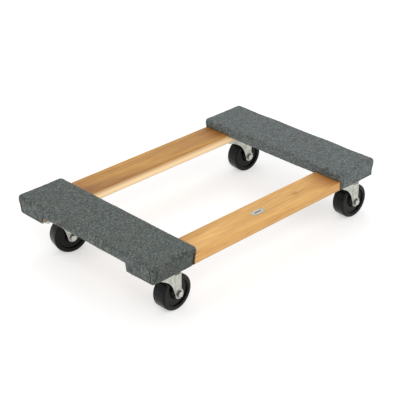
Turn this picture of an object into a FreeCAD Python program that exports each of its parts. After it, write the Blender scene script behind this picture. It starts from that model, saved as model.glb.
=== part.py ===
# Furniture dolly: two wooden rails under two carpeted end boards, on four swivel casters.
#
# Frame: millimetres, +Z up, floor at Z = 0. +X runs along the rails, towards the front end.
# The right-hand side is -Y. The origin is on the floor, half-way along the dolly as it stands
# with its casters trailing towards the front, so the deck's own middle is a little behind it.
import FreeCAD, Part
import math
import os

import Sketcher

Vector = FreeCAD.Vector
UP = Vector(0, 0, 1)

os.makedirs("parts", exist_ok=True)
doc = FreeCAD.newDocument("furniture_dolly")

# ---------------------------------------------------------------- driving dimensions
SIZES = {
    "deck": {
        "deck_x": -7.2,  # middle of the deck, measured from the origin
        "mount_high": 120.5,  # underside of the rails, where the casters bolt on
    },
    "rails": {
        "rail_long": 762,
        "rail_wide": 82,
        "rail_thick": 27,
        "rail_side": 235.5,  # outer face of a rail from the deck's centre line
        "rail_round": 4,  # rounded long edges
    },
    "end boards": {
        "board_wide": 124,
        "board_thick": 18,
        "board_round": 3,
        "sink_rad": 11,  # recess that takes a bolt's head
        "sink_deep": 4.5,
    },
    "carpet covers": {
        "carpet_thick": 4.5,
        "carpet_gap": 0.5,  # slack between the carpet and the wood's sides
        "carpet_round": 6,
        "skirt_low": 124,  # bottom of the skirt that covers the rail ends
        "skirt_half": 149.5,  # where the skirt steps up between the rails
        "flap_wide": 26,  # strip turned under the board and stapled
        "rail_slack": 0.3,
    },
    "staples": {
        "staple_wide": 11,
        "staple_wire": 1.2,
        "staple_flat": 0.7,
        "staple_leg": 8,
        "staple_step": 52,
        "staple_inset": 13,
    },
    "label": {
        "label_long": 44,
        "label_wide": 19,
        "label_thick": 0.4,
        "label_x": -7,
        "label_y": -198.5,
    },
    "caster bolts": {
        "bolt_rad": 4,
        "bolt_fit": 0.25,
        "bolt_x": 38,  # half the spacing of the plate's holes
        "bolt_y": 22.25,
        "bolt_end": 109,  # lower end of the thread
        "head_rad": 9.5,
        "head_high": 4,
        "nut_flat": 13,  # across flats, also the axle nut
        "nut_high": 6.5,
        "washer_rad": 8,
        "washer_thick": 1.2,
    },
    "caster plate": {
        "king_x": 318,
        "king_y": 190.5,
        "plate_long": 94,
        "plate_wide": 62,
        "plate_thick": 3,
        "plate_round": 9,
        "race_in": 16,
        "race_out": 27,
        "race_deep": 4,
    },
    "swivel": {
        "pin_rad": 6,
        "pin_fit": 0.08,
        "pin_head": 9.5,
        "pin_cap": 1.5,
        "pin_low": 98,
        "crown_rad": 30,
        "crown_top": 110.5,
        "crown_thick": 3,
        "rim_high": 2.4,
        "rim_thick": 2,
        "upper_ball": 3,
        "upper_track": 21.5,
        "upper_level": 112,
        "lower_ball": 2.5,
        "lower_track": 13.5,
        "lower_level": 106,
        "track_fit": 0.05,
        "lower_race_rad": 18.5,
        "lower_race_top": 104.5,
        "lower_race_thick": 3,
    },
    "fork": {
        "fork_half": 24.5,  # outer face of a leg from the wheel's middle
        "fork_wall": 2.5,
        "fork_bend": 4,
        "nose_x": -29,
        "nose_low": 103.5,
        "brow_x": -4,
        "brow_low": 93,
        "brow_arc": 75,
        "shin_x": 17,
        "shin_low": 66,
        "shin_arc": 60,
        "heel_x": 42.5,
        "back_x": 22,  # the crown falls away behind here, clear of the bolts
        "back_low": 103,
        "boss_rad": 12.5,
        "rib_front": 21,
        "rib_back": 40,
        "rib_low": 60,
        "rib_high": 101,
        "rib_proud": 1.6,
    },
    "wheel": {
        "trail": 35.7,  # axle behind the kingpin
        "wheel_rad": 46,
        "wheel_half": 18.4,
        "tread_edge": 5,
        "tread_crown": 0.25,
        "side_rad": 37.5,
        "side_step": 0.6,
        "dish_rad": 34.5,
        "dish_half": 14,
        "web_rad": 18,
        "hub_rad": 15,
        "hub_half": 20.8,
        "bush_rad": 9.5,
        "bush_bore": 6.45,
        "bush_half": 21.3,
        "press_fit": 0.02,
    },
    "axle": {
        "axle_rad": 4,
        "axle_fit": 0.06,
        "sleeve_rad": 6.35,
        "sleeve_half": 21.9,
        "axle_head": 5.3,
        "axle_nut_high": 4.2,
        "axle_end": 29.6,
        "flange_rad": 9.2,
        "flange_thick": 1.1,
    },
}

# Where each caster stands (end, side) and how far it has swivelled at rest, in degrees.
CASTERS = {
    "rear_right": (-1, -1, 1.9),
    "front_right": (1, -1, -2.4),
    "front_left": (1, 1, -4.3),
    "rear_left": (-1, 1, -14.4),
}
ENDS = {"rear": -1, "front": 1}
SIDES = {"right": -1, "left": 1}
UPPER_BALLS = 18
LOWER_BALLS = 13
STAPLES_A_FLAP = 5


def make_sheet():
    made = doc.addObject("Spreadsheet::Sheet", "Dim")
    turns = {f"{name}_turn": turn for name, (end, side, turn) in CASTERS.items()}
    row = 1
    for heading, group in {**SIZES, "casters at rest": turns}.items():
        made.set(f"A{row}", heading)
        row += 1
        for alias, size in group.items():
            made.set(f"A{row}", alias)
            made.set(f"B{row}", str(size))
            made.setAlias(f"B{row}", alias)
            row += 1
    doc.recompute()
    return made


sheet = make_sheet()
nodes = []

# Levels that follow from the driving dimensions
RAIL_TOP = "(Dim.mount_high + Dim.rail_thick)"
BOARD_TOP = f"({RAIL_TOP} + Dim.board_thick)"
CARPET_TOP = f"({BOARD_TOP} + Dim.carpet_thick)"
PLATE_LOW = "(Dim.mount_high - Dim.plate_thick)"
RACE_LOW = f"({PLATE_LOW} - Dim.race_deep)"
CROWN_LOW = "(Dim.crown_top - Dim.crown_thick)"
RAIL_MIDDLE = "(Dim.rail_side - Dim.rail_wide / 2)"
BOARD_MIDDLE = "(Dim.rail_long / 2 - Dim.board_wide / 2)"
LEG_INSIDE = "(Dim.fork_half - Dim.fork_wall)"


def value(expression):
    """Number that an expression in the sheet's names gives."""
    return float(sheet.evalExpression(str(expression)))


def bind(thing, **sizes):
    """Tie properties to expressions; a double underscore in a name stands for a dot."""
    for name, expression in sizes.items():
        thing.setExpression(name.replace("__", "."), str(expression))


def place(thing, x="0", y="0", z="0", turn=None):
    if turn is not None:
        thing.Placement = FreeCAD.Placement(Vector(0, 0, 0), FreeCAD.Rotation(UP, 1))
        bind(thing, Placement__Rotation__Angle=f"({turn}) * 1 deg")
    bind(thing, Placement__Base__x=x, Placement__Base__y=y, Placement__Base__z=z)


def node(thing, label):
    """Register a sub-part: its label names its file."""
    thing.Label = label
    nodes.append(thing)
    return thing


# ---------------------------------------------------------------- sketches and features
def new_body(label):
    return node(doc.addObject("PartDesign::Body", label), label)


def plane(body, role):
    return [part for part in body.Origin.OriginFeatures if part.Role == role][0]


def arc_piece(start, end, radius):
    """Arc between two points; its centre lies left of start-to-end for a positive radius."""
    chord = end - start
    reach = math.sqrt(max(radius**2 - (chord.Length / 2) ** 2, 0))
    left = Vector(-chord.y, chord.x, 0).normalize()
    centre = (start + end) * 0.5 + left * math.copysign(reach, radius)
    first, last = (start, end) if radius > 0 else (end, start)
    angles = [math.atan2(point.y - centre.y, point.x - centre.x) for point in (first, last)]
    if angles[1] < angles[0]:
        angles[1] += 2 * math.pi
    return Part.ArcOfCircle(Part.Circle(centre, UP, abs(radius)), *angles)


def add_outline(sketch, corners):
    """Closed outline. A corner is (x, y), or (x, y, radius) where an arc leads to it."""
    points = [Vector(value(corner[0]), value(corner[1]), 0) for corner in corners]
    first = sketch.GeometryCount
    ends = []
    for index, corner in enumerate(corners):
        start = points[index - 1]
        end = points[index]
        if len(corner) == 2:
            added = sketch.addGeometry(Part.LineSegment(start, end), False)
            ends.append((1, 2))
            continue
        radius = value(corner[2])
        added = sketch.addGeometry(arc_piece(start, end, radius), False)
        ends.append((1, 2) if radius > 0 else (2, 1))
        number = sketch.addConstraint(Sketcher.Constraint("Radius", added, abs(radius)))
        sketch.setExpression(f"Constraints[{number}]", f"abs({corner[2]})")
    for index, corner in enumerate(corners):
        this = first + index
        after = first + (index + 1) % len(corners)
        join = Sketcher.Constraint(
            "Coincident", this, ends[index][1], after, ends[(index + 1) % len(corners)][0]
        )
        sketch.addConstraint(join)
        for kind, expression, size in (
            ("DistanceX", corner[0], points[index].x),
            ("DistanceY", corner[1], points[index].y),
        ):
            rule = Sketcher.Constraint(kind, -1, 1, this, ends[index][1], size)
            number = sketch.addConstraint(rule)
            sketch.setExpression(f"Constraints[{number}]", str(expression))


def add_circle(sketch, x, y, radius):
    centre = Vector(value(x), value(y), 0)
    added = sketch.addGeometry(Part.Circle(centre, Vector(0, 0, 1), value(radius)), False)
    for kind, expression, rule in (
        ("DistanceX", x, ("DistanceX", -1, 1, added, 3, centre.x)),
        ("DistanceY", y, ("DistanceY", -1, 1, added, 3, centre.y)),
        ("Radius", radius, ("Radius", added, value(radius))),
    ):
        number = sketch.addConstraint(Sketcher.Constraint(*rule))
        sketch.setExpression(f"Constraints[{number}]", str(expression))


def new_sketch(body, role, outlines=(), circles=(), level="0"):
    """Sketch on one of the body's own planes, lifted off it by level."""
    sketch = body.newObject("Sketcher::SketchObject", "Sketch")
    sketch.AttachmentSupport = (plane(body, role), [""])
    sketch.MapMode = "FlatFace"
    bind(sketch, AttachmentOffset__Base__z=level)
    for corners in outlines:
        add_outline(sketch, corners)
    for x, y, radius in circles:
        add_circle(sketch, x, y, radius)
    doc.recompute()
    return sketch


def pad(body, sketch, length, back=False, both=False):
    feature = body.newObject("PartDesign::Pad", "Pad")
    feature.Profile = sketch
    bind(feature, Length=length)
    feature.Reversed = back
    feature.Midplane = both
    doc.recompute()
    return feature


def pocket(body, sketch, length, back=False, both=False):
    before = body.Shape.Volume
    feature = body.newObject("PartDesign::Pocket", "Pocket")
    feature.Profile = sketch
    bind(feature, Length=length)
    feature.Reversed = back
    feature.Midplane = both
    doc.recompute()
    if body.Shape.Volume > before - 1e-3:
        raise ValueError(f"{body.Label}: a pocket removes nothing")
    return feature


def turned(body, kind, sketch, axis):
    """Revolution or Groove all the way round one of the sketch's own axes."""
    feature = body.newObject(f"PartDesign::{kind}", kind)
    feature.Profile = sketch
    feature.ReferenceAxis = (sketch, [axis])
    feature.Angle = 360
    doc.recompute()
    return feature


def round_edges(body, radius, wanted):
    """Fillet on the edges of the body's last feature for which wanted(edge) holds."""
    tip = body.Tip
    names = [f"Edge{i + 1}" for i, edge in enumerate(tip.Shape.Edges) if wanted(edge)]
    if not names:
        raise ValueError(f"{body.Label}: no edge to round")
    feature = body.newObject("PartDesign::Fillet", "Fillet")
    feature.Base = (tip, names)
    bind(feature, Radius=radius)
    doc.recompute()
    return feature


def runs_along(edge, direction):
    line = edge.Vertexes[-1].Point - edge.Vertexes[0].Point
    return line.Length > 1e-6 and abs(line.normalize().dot(direction)) > 0.999


def rectangle(x0, x1, y0, y1):
    return [(x0, y0), (x1, y0), (x1, y1), (x0, y1)]


def hexagon(flat):
    """Hexagon about the origin, from its size across flats."""
    corners = []
    for step in range(6):
        reach = f"({flat}) / 2 / cos(30 deg)"
        corners.append((f"{reach} * cos({60 * step} deg)", f"{reach} * sin({60 * step} deg)"))
    return corners


def tube(label, inside, outside, half):
    """Plain sleeve along Y."""
    body = new_body(label)
    ring = new_sketch(body, "XZ_Plane", circles=[("0", "0", outside), ("0", "0", inside)])
    pad(body, ring, f"2 * ({half})", both=True)
    return body


# ---------------------------------------------------------------- primitives and groups
def box(x0, x1, y0, y1, z0, z1):
    block = doc.addObject("Part::Box", "Block")
    bind(block, Length=f"({x1}) - ({x0})", Width=f"({y1}) - ({y0})", Height=f"({z1}) - ({z0})")
    place(block, x0, y0, z0)
    return block


def fuse(pieces):
    joined = doc.addObject("Part::MultiFuse", "Joined")
    joined.Shapes = pieces
    return joined


def cut(base, tool):
    left = doc.addObject("Part::Cut", "Left")
    left.Base = base
    left.Tool = tool
    return left


def cylinder(radius, low, high):
    """Upright cylinder on the Z axis."""
    round_bar = doc.addObject("Part::Cylinder", "Round")
    bind(round_bar, Radius=radius, Height=f"({high}) - ({low})")
    place(round_bar, "0", "0", low)
    return round_bar


def cross_bar(x, z, radius, half):
    """Cylinder along Y through (x, z)."""
    round_bar = doc.addObject("Part::Cylinder", "Cross")
    round_bar.Placement = FreeCAD.Placement(Vector(0, 0, 0), FreeCAD.Rotation(Vector(1, 0, 0), 90))
    bind(round_bar, Radius=radius, Height=f"2 * ({half})")
    bind(round_bar, Placement__Base__x=x, Placement__Base__y=half, Placement__Base__z=z)
    return round_bar


def ring_track(track, level, radius):
    """Torus swept by a ball, grown by the track's fit."""
    ring = doc.addObject("Part::Torus", "Track")
    bind(ring, Radius1=track, Radius2=f"{radius} + Dim.track_fit")
    place(ring, "0", "0", level)
    return ring


def slab(corners, low, high):
    """Upright prism on an outline in plan."""
    sketch = doc.addObject("Sketcher::SketchObject", "Plan")
    bind(sketch, Placement__Base__z=low)
    add_outline(sketch, corners)
    prism = doc.addObject("Part::Extrusion", "Slab")
    prism.Base = sketch
    prism.Dir = UP
    prism.Solid = True
    bind(prism, LengthFwd=f"({high}) - ({low})")
    return prism


def side_slab(corners, half):
    """Prism across the deck on an outline in X and Z."""
    sketch = doc.addObject("Sketcher::SketchObject", "Side")
    sketch.Placement = FreeCAD.Placement(Vector(0, 0, 0), FreeCAD.Rotation(Vector(1, 0, 0), 90))
    add_outline(sketch, corners)
    prism = doc.addObject("Part::Extrusion", "SideSlab")
    prism.Base = sketch
    prism.Dir = Vector(0, -1, 0)
    prism.Solid = True
    prism.Symmetric = True
    bind(prism, LengthFwd=f"2 * ({half})")
    return prism


def group(label, pattern, spots):
    """Separate copies of one pattern shape as a single node."""
    copies = []
    for spot in spots:
        copy = pattern.Shape.copy()
        copy.Placement = spot.multiply(copy.Placement)
        copies.append(copy)
    feature = doc.addObject("Part::Feature", label)
    feature.Shape = Part.makeCompound(copies)
    return node(feature, label)


def at(x, y, z=0, turn=0):
    return FreeCAD.Placement(Vector(x, y, z), FreeCAD.Rotation(UP, turn))


# ---------------------------------------------------------------- wooden frame
def plate_holes():
    """Centres of a caster plate's four holes, from its kingpin."""
    return [
        (f"{end} * Dim.bolt_x", f"{side} * Dim.bolt_y") for end in (-1, 1) for side in (-1, 1)
    ]


def make_rail(name, side):
    body = new_body(f"rail_{name}")
    half_wide = "Dim.rail_wide / 2"
    section = rectangle(f"-{half_wide}", half_wide, "0", "Dim.rail_thick")
    pad(body, new_sketch(body, "YZ_Plane", [section]), "Dim.rail_long", both=True)
    round_edges(body, "Dim.rail_round", lambda edge: runs_along(edge, Vector(1, 0, 0)))
    across = f"({side} * (Dim.king_y - {RAIL_MIDDLE}))"
    holes = []
    for end in (-1, 1):
        for x, y in plate_holes():
            centre = (f"{end} * Dim.king_x + {x}", f"{across} + {y}")
            holes.append((*centre, "Dim.bolt_rad + Dim.bolt_fit"))
    pocket(body, new_sketch(body, "XY_Plane", circles=holes), "Dim.rail_thick", back=True)
    place(body, "Dim.deck_x", f"{side} * {RAIL_MIDDLE}", "Dim.mount_high")


def make_board(name, end):
    """End board; its own +X points out of the deck, so the front and rear ones are alike."""
    body = new_body(f"board_{name}")
    half_wide = "Dim.board_wide / 2"
    half_long = "Dim.rail_side"
    outline = rectangle(f"-{half_wide}", half_wide, f"-{half_long}", half_long)
    pad(body, new_sketch(body, "XY_Plane", [outline]), "Dim.board_thick")
    top = value("Dim.board_thick")
    round_edges(
        body,
        "Dim.board_round",
        lambda edge: runs_along(edge, Vector(0, 1, 0)) and edge.CenterOfMass.z > top - 1,
    )
    bores = []
    sinks = []
    for side in (-1, 1):
        for x, y in plate_holes():
            centre = (f"Dim.king_x - {BOARD_MIDDLE} + {x}", f"{side} * Dim.king_y + {y}")
            bores.append((*centre, "Dim.bolt_rad + Dim.bolt_fit"))
            sinks.append((*centre, "Dim.sink_rad"))
    pocket(body, new_sketch(body, "XY_Plane", circles=bores), "Dim.board_thick", back=True)
    top_sketch = new_sketch(body, "XY_Plane", circles=sinks, level="Dim.board_thick")
    pocket(body, top_sketch, "Dim.sink_deep")
    turn = "0" if end > 0 else "180"
    place(body, f"Dim.deck_x + {end} * {BOARD_MIDDLE}", "0", RAIL_TOP, turn)


# ---------------------------------------------------------------- carpet
def make_carpet(name, end):
    """Cover over an end board: a skirt over the rail ends, flaps turned under between rails."""
    board = "Dim.board_wide / 2"
    wall = "(Dim.carpet_gap + Dim.carpet_thick)"
    out_x = f"({board} + {wall})"
    out_y = f"(Dim.rail_side + {wall})"
    in_x = f"({board} + Dim.carpet_gap)"
    in_y = "(Dim.rail_side + Dim.carpet_gap)"
    flap_low = f"({RAIL_TOP} - Dim.carpet_thick)"
    rail_in = "(Dim.rail_side - Dim.rail_wide - Dim.rail_slack)"
    past = "10"
    block = box(f"-{out_x}", out_x, f"-{out_y}", out_y, "Dim.skirt_low", CARPET_TOP)
    doc.recompute()
    shell = doc.addObject("Part::Fillet", "Shell")
    shell.Base = block
    top = value(CARPET_TOP)
    radius = value("Dim.carpet_round")
    shell.Edges = [
        (i + 1, radius, radius)
        for i, edge in enumerate(block.Shape.Edges)
        if runs_along(edge, UP) or edge.CenterOfMass.z > top - 1
    ]
    inside = box(f"-{in_x}", in_x, f"-{in_y}", in_y, RAIL_TOP, BOARD_TOP)
    under = box(f"-{out_x} - {past}", in_x, f"-{in_y}", in_y, "0", flap_low)
    step_y = "Dim.skirt_half"
    step = box(f"-{out_x}", f"{out_x} + {past}", f"-{step_y}", step_y, "0", flap_low)
    flap_x = f"({board} - Dim.flap_wide)"
    between = box(f"-{flap_x}", flap_x, f"-{in_y}", in_y, "0", f"{RAIL_TOP} + 1")
    rail_top = f"{RAIL_TOP} + Dim.rail_slack"
    rails = [
        box(f"-{out_x} - {past}", in_x, rail_in, in_y, "0", rail_top),
        box(f"-{out_x} - {past}", in_x, f"-{in_y}", f"-{rail_in}", "0", rail_top),
    ]
    cover = node(cut(shell, fuse([inside, under, step, between, *rails])), f"carpet_{name}")
    turn = "0" if end > 0 else "180"
    place(cover, f"Dim.deck_x + {end} * {BOARD_MIDDLE}", "0", "0", turn)


def staple_pattern():
    half = "(Dim.staple_wide / 2)"
    wire = "Dim.staple_wire"
    crown = box(f"-{wire} / 2", f"{wire} / 2", f"-{half}", half, "-Dim.staple_flat", "0")
    leg_in = f"{half} - Dim.staple_flat"
    legs = [
        box(f"-{wire} / 2", f"{wire} / 2", f"-{half}", f"-({leg_in})", "0", "Dim.staple_leg"),
        box(f"-{wire} / 2", f"{wire} / 2", leg_in, half, "0", "Dim.staple_leg"),
    ]
    pattern = fuse([crown, *legs])
    doc.recompute()
    return pattern


def make_staples(name, end, pattern):
    """Rows of staples that hold the turned-under flaps to the board."""
    reach = value("Dim.board_wide / 2 - Dim.staple_inset")
    middle = value(f"Dim.deck_x + {end} * {BOARD_MIDDLE}")
    level = value(f"{RAIL_TOP} - Dim.carpet_thick")
    step = value("Dim.staple_step")
    spots = []
    for flap in (-1, 1):
        for number in range(STAPLES_A_FLAP):
            across = (number - (STAPLES_A_FLAP - 1) / 2) * step
            spots.append(at(middle + flap * reach, across, level))
    group(f"staples_{name}", pattern, spots)


def make_label():
    """Blank oval plate on the right rail."""
    body = new_body("rail_label")
    long_half = "Dim.label_long / 2"
    wide_half = "Dim.label_wide / 2"
    flat_half = f"({long_half} - {wide_half})"
    outline = [
        (flat_half, f"-{wide_half}"),
        (long_half, "0", wide_half),
        (flat_half, wide_half, wide_half),
        (f"-{flat_half}", wide_half),
        (f"-{long_half}", "0", wide_half),
        (f"-{flat_half}", f"-{wide_half}", wide_half),
    ]
    pad(body, new_sketch(body, "XY_Plane", [outline]), "Dim.label_thick")
    place(body, "Dim.deck_x + Dim.label_x", "Dim.label_y", RAIL_TOP)


# ---------------------------------------------------------------- bolts through the deck
def bolt_spots():
    """Axes of the sixteen bolts that hold the casters."""
    spots = []
    for end, side, turn in CASTERS.values():
        for x, y in plate_holes():
            across = value(f"{side} * Dim.king_y + {y}")
            spots.append(at(value(f"Dim.deck_x + {end} * Dim.king_x + {x}"), across))
    return spots


def bolt_pattern():
    """Carriage bolt: domed head in the board's recess, shank through board, rail and plate."""
    head_low = f"({BOARD_TOP} - Dim.sink_deep)"
    body = doc.addObject("PartDesign::Body", "bolt_pattern")
    ball = "((Dim.head_rad ^ 2 + Dim.head_high ^ 2) / 2 / Dim.head_high)"
    profile = [
        ("0", "Dim.bolt_end"),
        ("Dim.bolt_rad - 1", "Dim.bolt_end"),
        ("Dim.bolt_rad", "Dim.bolt_end + 1"),
        ("Dim.bolt_rad", head_low),
        ("Dim.head_rad", head_low),
        ("0", f"{head_low} + Dim.head_high", ball),
    ]
    turned(body, "Revolution", new_sketch(body, "XZ_Plane", [profile]), "V_Axis")
    return body


def nut_pattern():
    """Hexagon nut and its washer, under a caster plate."""
    body = doc.addObject("PartDesign::Body", "nut_pattern")
    bore = ("0", "0", "Dim.bolt_rad + Dim.axle_fit")
    washer = new_sketch(
        body, "XY_Plane", circles=[("0", "0", "Dim.washer_rad"), bore], level=PLATE_LOW
    )
    pad(body, washer, "Dim.washer_thick", back=True)
    nut_top = f"{PLATE_LOW} - Dim.washer_thick"
    nut = new_sketch(
        body, "XY_Plane", outlines=[hexagon("Dim.nut_flat")], circles=[bore], level=nut_top
    )
    pad(body, nut, "Dim.nut_high", back=True)
    return body


# ---------------------------------------------------------------- casters
def stand(thing, name, ahead="0", level="0"):
    """Put a piece at its caster, turned with the fork; ahead runs from kingpin to axle."""
    end, side, turn = CASTERS[name]
    angle = f"(Dim.{name}_turn * 1 deg)"
    x = f"Dim.deck_x + {end} * Dim.king_x + {ahead} * cos({angle})"
    y = f"{side} * Dim.king_y + {ahead} * sin({angle})"
    place(thing, x, y, level, f"Dim.{name}_turn")


def stand_square(thing, name):
    """Put a piece at its caster, square to the rail."""
    end, side, turn = CASTERS[name]
    place(thing, f"Dim.deck_x + {end} * Dim.king_x", f"{side} * Dim.king_y")


def make_plate(name):
    """Top plate with the upper ball race pressed into it."""
    body = new_body(f"{name}_plate")
    long_half = "Dim.plate_long / 2"
    wide_half = "Dim.plate_wide / 2"
    outline = rectangle(f"-{long_half}", long_half, f"-{wide_half}", wide_half)
    pad(body, new_sketch(body, "XY_Plane", [outline], level=PLATE_LOW), "Dim.plate_thick")
    round_edges(body, "Dim.plate_round", lambda edge: runs_along(edge, UP))
    race = rectangle("Dim.race_in", "Dim.race_out", RACE_LOW, f"{PLATE_LOW} + 1")
    turned(body, "Revolution", new_sketch(body, "XZ_Plane", [race]), "V_Axis")
    track = ("Dim.upper_track", "Dim.upper_level", "Dim.upper_ball + Dim.track_fit")
    turned(body, "Groove", new_sketch(body, "XZ_Plane", circles=[track]), "V_Axis")
    cap_low = "Dim.mount_high - Dim.pin_cap"
    pin_hole = [
        ("0", f"{PLATE_LOW} - 1"),
        ("Dim.pin_rad + Dim.press_fit", f"{PLATE_LOW} - 1"),
        ("Dim.pin_rad + Dim.press_fit", cap_low),
        ("Dim.pin_head + Dim.press_fit", cap_low),
        ("Dim.pin_head + Dim.press_fit", "Dim.mount_high + 1"),
        ("0", "Dim.mount_high + 1"),
    ]
    turned(body, "Groove", new_sketch(body, "XZ_Plane", [pin_hole]), "V_Axis")
    bores = [(x, y, "Dim.bolt_rad + Dim.bolt_fit") for x, y in plate_holes()]
    bore_sketch = new_sketch(body, "XY_Plane", circles=bores, level=PLATE_LOW)
    pocket(body, bore_sketch, "Dim.plate_thick", back=True)
    stand_square(body, name)


def make_kingpin(name):
    """Rivet that holds plate, fork and lower race together."""
    body = new_body(f"{name}_kingpin")
    race_low = "Dim.lower_race_top - Dim.lower_race_thick"
    profile = [
        ("0", "Dim.pin_low"),
        ("Dim.pin_head - 2", "Dim.pin_low"),
        ("Dim.pin_head", "Dim.pin_low + 2", "2"),
        ("Dim.pin_head", race_low),
        ("Dim.pin_rad", race_low),
        ("Dim.pin_rad", "Dim.mount_high - Dim.pin_cap"),
        ("Dim.pin_head", "Dim.mount_high - Dim.pin_cap"),
        ("Dim.pin_head", "Dim.mount_high"),
        ("0", "Dim.mount_high"),
    ]
    turned(body, "Revolution", new_sketch(body, "XZ_Plane", [profile]), "V_Axis")
    stand_square(body, name)


def make_lower_race(name):
    """Ring under the fork's crown, clamped by the kingpin's head."""
    body = new_body(f"{name}_lower_race")
    low = "Dim.lower_race_top - Dim.lower_race_thick"
    bore = "Dim.pin_rad + Dim.press_fit"
    ring = rectangle(bore, "Dim.lower_race_rad", low, "Dim.lower_race_top")
    turned(body, "Revolution", new_sketch(body, "XZ_Plane", [ring]), "V_Axis")
    track = ("Dim.lower_track", "Dim.lower_level", "Dim.lower_ball + Dim.track_fit")
    turned(body, "Groove", new_sketch(body, "XZ_Plane", circles=[track]), "V_Axis")
    stand_square(body, name)


def plan(half, nose, back):
    """Outline of the fork from above: straight sides and a half-round nose."""
    turn_x = f"({nose} + {half})"
    return [
        (turn_x, f"-({half})", half),
        (back, f"-({half})"),
        (back, half),
        (turn_x, half),
        (nose, "0", half),
    ]


def make_fork(name):
    """Pressed fork: a crown that carries both ball races, and two legs down to the axle."""
    past_back = "Dim.trail + Dim.boss_rad + 5"
    block = slab(plan("Dim.fork_half", "Dim.nose_x", past_back), "20", "Dim.crown_top")
    doc.recompute()
    bent = doc.addObject("Part::Fillet", "Bent")
    bent.Base = block
    top = value("Dim.crown_top")
    radius = value("Dim.fork_bend")
    bent.Edges = [
        (i + 1, radius, radius)
        for i, edge in enumerate(block.Shape.Edges)
        if abs(edge.CenterOfMass.z - top) < 1e-3 and edge.CenterOfMass.x < value("Dim.heel_x")
    ]
    inside = slab(plan(LEG_INSIDE, "Dim.nose_x + Dim.fork_wall", past_back), "0", CROWN_LOW)
    back_top = "Dim.wheel_rad + sqrt(Dim.boss_rad ^ 2 - (Dim.heel_x - Dim.trail) ^ 2)"
    waste = [
        ("Dim.nose_x - 5", "0"),
        (past_back, "0"),
        (past_back, "Dim.crown_top + 5"),
        ("Dim.back_x", "Dim.crown_top + 5"),
        ("Dim.back_x", "Dim.crown_top"),
        ("Dim.heel_x", "Dim.back_low"),
        ("Dim.heel_x", back_top),
        ("Dim.trail + Dim.boss_rad", "Dim.wheel_rad", "-Dim.boss_rad"),
        ("Dim.trail", "Dim.wheel_rad - Dim.boss_rad", "-Dim.boss_rad"),
        ("Dim.trail - Dim.boss_rad", "Dim.wheel_rad", "-Dim.boss_rad"),
        ("Dim.shin_x", "Dim.shin_low"),
        ("Dim.brow_x", "Dim.brow_low", "Dim.shin_arc"),
        ("Dim.nose_x", "Dim.nose_low", "Dim.brow_arc"),
        ("Dim.nose_x - 5", "Dim.nose_low"),
    ]
    pressed = cut(cut(bent, inside), side_slab(waste, "2 * Dim.fork_half"))
    rim_in = "Dim.crown_rad - Dim.rim_thick"
    rim_top = "Dim.crown_top + Dim.rim_high"
    flange = cut(
        cylinder("Dim.crown_rad", CROWN_LOW, rim_top),
        cylinder(rim_in, "Dim.crown_top", f"{rim_top} + 1"),
    )
    crown = fuse([pressed, flange, *rib_slabs()])
    axle_bore = "Dim.axle_rad + Dim.axle_fit"
    holes = fuse(
        [
            ring_track("Dim.upper_track", "Dim.upper_level", "Dim.upper_ball"),
            ring_track("Dim.lower_track", "Dim.lower_level", "Dim.lower_ball"),
            cylinder("Dim.pin_rad + Dim.pin_fit", "Dim.pin_low", "Dim.mount_high"),
            cross_bar("Dim.trail", "Dim.wheel_rad", axle_bore, "2 * Dim.fork_half"),
        ]
    )
    fork = node(cut(crown, holes), f"{name}_fork")
    stand(fork, name)


def rib_slabs():
    """Stiffening rib pressed outwards along each leg, with sloping sides."""
    foot = "(Dim.fork_half - 0.5)"
    face = "(Dim.fork_half + Dim.rib_proud)"
    ribs = []
    for side in (-1, 1):
        outline = [
            ("Dim.rib_front", f"{side} * {foot}"),
            ("Dim.rib_front", f"{side} * Dim.fork_half"),
            ("Dim.rib_front + Dim.rib_proud", f"{side} * {face}"),
            ("Dim.rib_back - Dim.rib_proud", f"{side} * {face}"),
            ("Dim.rib_back", f"{side} * Dim.fork_half"),
            ("Dim.rib_back", f"{side} * {foot}"),
        ]
        ribs.append(slab(outline, "Dim.rib_low", "Dim.rib_high"))
    return ribs


def make_balls(name, row, pattern, track, level, count):
    """Ring of bearing balls about the kingpin."""
    spots = []
    for number in range(count):
        angle = 2 * math.pi * (number + 0.5) / count
        x = value(track) * math.cos(angle)
        y = value(track) * math.sin(angle)
        spots.append(at(x, y, value(level)))
    ring = group(f"{name}_{row}_balls", pattern, spots)
    end, side, turn = CASTERS[name]
    middle_x = value(f"Dim.deck_x + {end} * Dim.king_x")
    ring.Placement = at(middle_x, value(f"{side} * Dim.king_y"), 0, turn)


def ball_pattern(radius):
    ball = doc.addObject("Part::Sphere", "ball_pattern")
    bind(ball, Radius=radius)
    doc.recompute()
    return ball


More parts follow.
